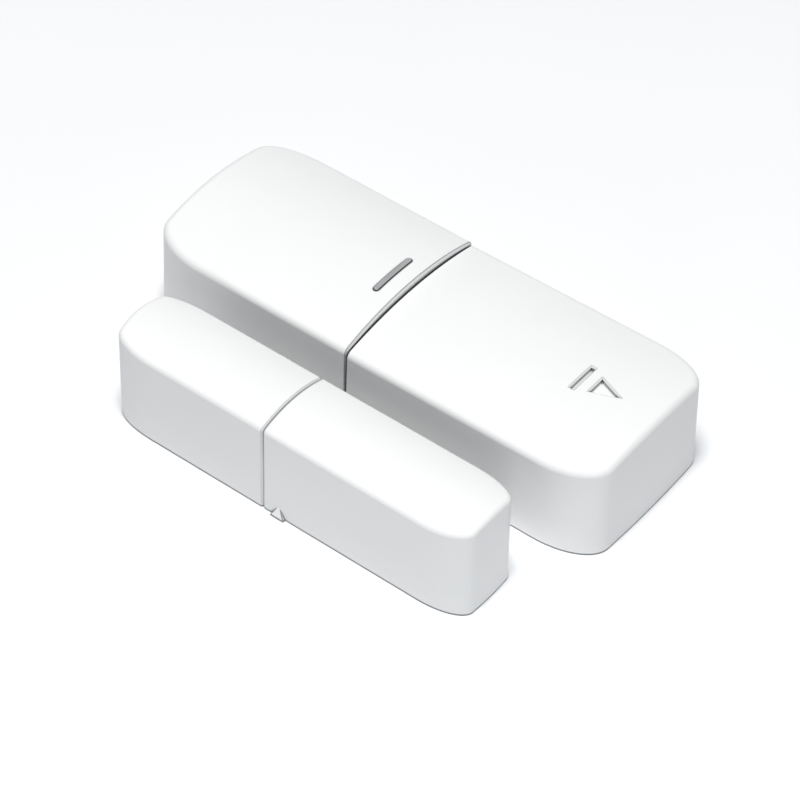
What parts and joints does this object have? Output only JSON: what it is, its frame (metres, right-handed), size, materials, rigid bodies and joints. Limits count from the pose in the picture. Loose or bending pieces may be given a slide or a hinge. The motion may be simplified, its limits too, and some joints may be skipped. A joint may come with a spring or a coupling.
{
  "type": "door contact sensor",
  "caption": "Wireless door contact sensor with crowned cap and sliding battery cover, beside its slim grooved magnet unit; both fix flat to a frame and door.",
  "frame": {"origin": "centre of the sensor unit's back, on the surface it is fixed to", "axes": "+X along the sensor unit towards the battery cover's end, +Y away from the magnet unit, +Z out of the mounting surface"},
  "size_m": [0.0752, 0.0463, 0.0167],
  "materials": {
    "shell_plastic": "satin moulded ABS with a very fine spark texture",
    "tray_plastic": "matt moulded ABS",
    "smoke_lens": "grey translucent polycarbonate",
    "foam": "closed-cell adhesive foam",
    "screw_steel": "zinc plated",
    "board_laminate": "green solder mask",
    "reed_glass": "clear greenish glass",
    "plated_lead": "tin plated",
    "led_body": "moulded lens on a white carrier",
    "chip_epoxy": "black moulded epoxy",
    "can_metal": "drawn nickel plated can",
    "capacitor_sleeve": "dark shrink sleeve",
    "chip_ceramic": "fired ceramic body",
    "copper_wire": "enamelled copper",
    "switch_body": "black moulded nylon",
    "button_plastic": "light moulded acetal",
    "plunger_plastic": "red moulded acetal",
    "battery_wrap": "plain printed shrink sleeve",
    "contact_nickel": "nickel plated spring steel",
    "magnet_ferrite": "pressed ferrite"
  },
  "bodies": {
    "wall_plate": {"mounting_plate": "tray_plastic", "mounting_pad": "foam"},
    "sensor": {"base_tray": "tray_plastic", "sensor_cap": "shell_plastic", "light_pipe": "smoke_lens", "case_screws": "screw_steel", "board_screws": "screw_steel", "circuit_board": "board_laminate", "reed_glass": "reed_glass", "reed_leads": "plated_lead", "status_led": "led_body", "controller_chip": "chip_epoxy", "chip_legs": "plated_lead", "crystal": "can_metal", "radio_module": "can_metal", "capacitor": "capacitor_sleeve", "chip_parts": "chip_ceramic", "antenna": "copper_wire", "learn_switch": "switch_body", "tamper_switch": "switch_body", "battery_cell": "can_metal", "battery_sleeve": "battery_wrap", "battery_spring": "contact_nickel", "negative_contact": "contact_nickel", "positive_contact": "contact_nickel"},
    "cover": {"battery_cover": "shell_plastic"},
    "learn_key": {"learn_button": "button_plastic"},
    "tamper_key": {"tamper_plunger": "plunger_plastic"},
    "magnet_base": {"magnet_plate": "tray_plastic", "magnet_pad": "foam", "bar_magnet": "magnet_ferrite"},
    "magnet_lid": {"magnet_cap": "shell_plastic"}
  },
  "joints": [
    {"name": "sensor_lift", "type": "slide", "parent": "wall_plate", "child": "sensor", "axis": [0, 0, 1], "range_m": [0, 0.02]},
    {"name": "cover_slide", "type": "slide", "parent": "sensor", "child": "cover", "axis": [1, 0, 0], "range_m": [0, 0.044]},
    {"name": "learn_press", "type": "slide", "parent": "sensor", "child": "learn_key", "axis": [0, 0, -1], "range_m": [0, 0.00025], "stiffness_N_per_m": 400, "springref_m": -0.00025},
    {"name": "tamper_rise", "type": "slide", "parent": "sensor", "child": "tamper_key", "axis": [0, 0, 1], "range_m": [0, 0.0008]},
    {"name": "door_open", "type": "slide", "parent": "wall_plate", "child": "magnet_base", "axis": [0, -1, 0], "range_m": [0, 0.05]},
    {"name": "magnet_cap_lift", "type": "slide", "parent": "magnet_base", "child": "magnet_lid", "axis": [0, 0, 1], "range_m": [0, 0.02]}
  ],
  "couplings": [
    {"joint": "tamper_rise", "follows": "cover_slide", "ratio": 0.018}
  ]
}
